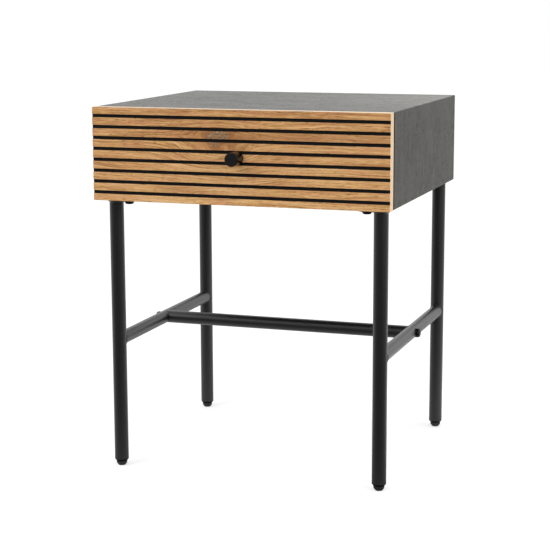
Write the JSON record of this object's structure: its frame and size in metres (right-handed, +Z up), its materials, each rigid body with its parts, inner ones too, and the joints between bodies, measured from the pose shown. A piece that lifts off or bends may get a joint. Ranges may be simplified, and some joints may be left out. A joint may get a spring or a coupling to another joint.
{
  "type": "side table with drawer",
  "caption": "Square side table: a dark mitred case with a slatted oak drawer front and round black knob, on a round-tube steel leg frame with cross rails.",
  "frame": {"origin": "on the floor, under the middle of the whole table with its knob", "axes": "+Z up, +X to the table's right as seen from its front, +Y from the drawer front to the back"},
  "size_m": [0.45, 0.437, 0.55],
  "materials": {
    "oak_front": "natural oak veneer, matt lacquer",
    "black_stained_oak": "black-stained oak veneer, satin lacquer",
    "black_fibreboard": "black-dyed fibreboard, matt",
    "birch_ply": "clear-lacquered birch plywood",
    "beech": "plain beech",
    "black_powder_coat": "fine satin powder coat",
    "black_knob": "satin black",
    "black_bolt_steel": "black oxide",
    "black_plastic": "moulded black nylon",
    "clear_rubber": "clear silicone",
    "zinc_runner": "bright zinc plate",
    "zinc_steel": "bright zinc plate",
    "ball_steel": "polished"
  },
  "bodies": {
    "case": {"top_panel": "black_stained_oak", "left_side_panel": "black_stained_oak", "right_side_panel": "black_stained_oak", "bottom_panel": "black_stained_oak", "back_panel": "black_fibreboard", "mitre_dowels": "beech", "back_panel_screws": "zinc_steel", "front_left_leg": "black_powder_coat", "front_right_leg": "black_powder_coat", "back_left_leg": "black_powder_coat", "back_right_leg": "black_powder_coat", "front_left_plate": "black_powder_coat", "front_right_plate": "black_powder_coat", "back_left_plate": "black_powder_coat", "back_right_plate": "black_powder_coat", "left_rail": "black_powder_coat", "right_rail": "black_powder_coat", "cross_rail": "black_powder_coat", "rail_end_nuts": "zinc_steel", "rail_bolts": "black_bolt_steel", "saddle_washers": "black_bolt_steel", "plate_bolts": "black_bolt_steel", "threaded_inserts": "zinc_steel", "leg_end_plugs": "black_plastic", "left_outer_member": "zinc_runner", "right_outer_member": "zinc_runner", "runner_case_screws": "zinc_steel"},
    "drawer": {"drawer_front": "oak_front", "knob": "black_knob", "knob_screw": "zinc_steel", "front_screws": "zinc_steel", "buffer_pads": "clear_rubber", "box_front_board": "birch_ply", "box_back_board": "birch_ply", "box_left_board": "birch_ply", "box_right_board": "birch_ply", "box_bottom": "birch_ply", "box_dowels": "beech", "left_inner_member": "zinc_runner", "right_inner_member": "zinc_runner", "runner_drawer_screws": "zinc_steel"},
    "left_middle": {"left_middle_member": "zinc_runner"},
    "left_outer_ball_cage": {"left_outer_cage": "zinc_runner", "left_outer_balls": "ball_steel"},
    "left_inner_ball_cage": {"left_inner_cage": "zinc_runner", "left_inner_balls": "ball_steel"},
    "right_middle": {"right_middle_member": "zinc_runner"},
    "right_outer_ball_cage": {"right_outer_cage": "zinc_runner", "right_outer_balls": "ball_steel"},
    "right_inner_ball_cage": {"right_inner_cage": "zinc_runner", "right_inner_balls": "ball_steel"},
    "front_left_leveller": {"front_left_foot": "black_plastic", "front_left_stud": "zinc_steel"},
    "front_right_leveller": {"front_right_foot": "black_plastic", "front_right_stud": "zinc_steel"},
    "back_left_leveller": {"back_left_foot": "black_plastic", "back_left_stud": "zinc_steel"},
    "back_right_leveller": {"back_right_foot": "black_plastic", "back_right_stud": "zinc_steel"}
  },
  "joints": [
    {"name": "drawer_slide", "type": "slide", "parent": "case", "child": "drawer", "axis": [0, -1, 0], "range_m": [0, 0.34]},
    {"name": "left_middle_slide", "type": "slide", "parent": "case", "child": "left_middle", "axis": [0, -1, 0], "range_m": [0, 0.17]},
    {"name": "left_outer_cage_roll", "type": "slide", "parent": "case", "child": "left_outer_ball_cage", "axis": [0, -1, 0], "range_m": [0, 0.085]},
    {"name": "left_inner_cage_roll", "type": "slide", "parent": "case", "child": "left_inner_ball_cage", "axis": [0, -1, 0], "range_m": [0, 0.255]},
    {"name": "right_middle_slide", "type": "slide", "parent": "case", "child": "right_middle", "axis": [0, -1, 0], "range_m": [0, 0.17]},
    {"name": "right_outer_cage_roll", "type": "slide", "parent": "case", "child": "right_outer_ball_cage", "axis": [0, -1, 0], "range_m": [0, 0.085]},
    {"name": "right_inner_cage_roll", "type": "slide", "parent": "case", "child": "right_inner_ball_cage", "axis": [0, -1, 0], "range_m": [0, 0.255]},
    {"name": "front_left_foot_adjust", "type": "slide", "parent": "case", "child": "front_left_leveller", "axis": [0, 0, -1], "range_m": [0, 0.01]},
    {"name": "front_right_foot_adjust", "type": "slide", "parent": "case", "child": "front_right_leveller", "axis": [0, 0, -1], "range_m": [0, 0.01]},
    {"name": "back_left_foot_adjust", "type": "slide", "parent": "case", "child": "back_left_leveller", "axis": [0, 0, -1], "range_m": [0, 0.01]},
    {"name": "back_right_foot_adjust", "type": "slide", "parent": "case", "child": "back_right_leveller", "axis": [0, 0, -1], "range_m": [0, 0.01]}
  ],
  "couplings": [
    {"joint": "left_middle_slide", "follows": "drawer_slide", "ratio": 0.5},
    {"joint": "left_outer_cage_roll", "follows": "drawer_slide", "ratio": 0.25},
    {"joint": "left_inner_cage_roll", "follows": "drawer_slide", "ratio": 0.75},
    {"joint": "right_middle_slide", "follows": "drawer_slide", "ratio": 0.5},
    {"joint": "right_outer_cage_roll", "follows": "drawer_slide", "ratio": 0.25},
    {"joint": "right_inner_cage_roll", "follows": "drawer_slide", "ratio": 0.75}
  ]
}
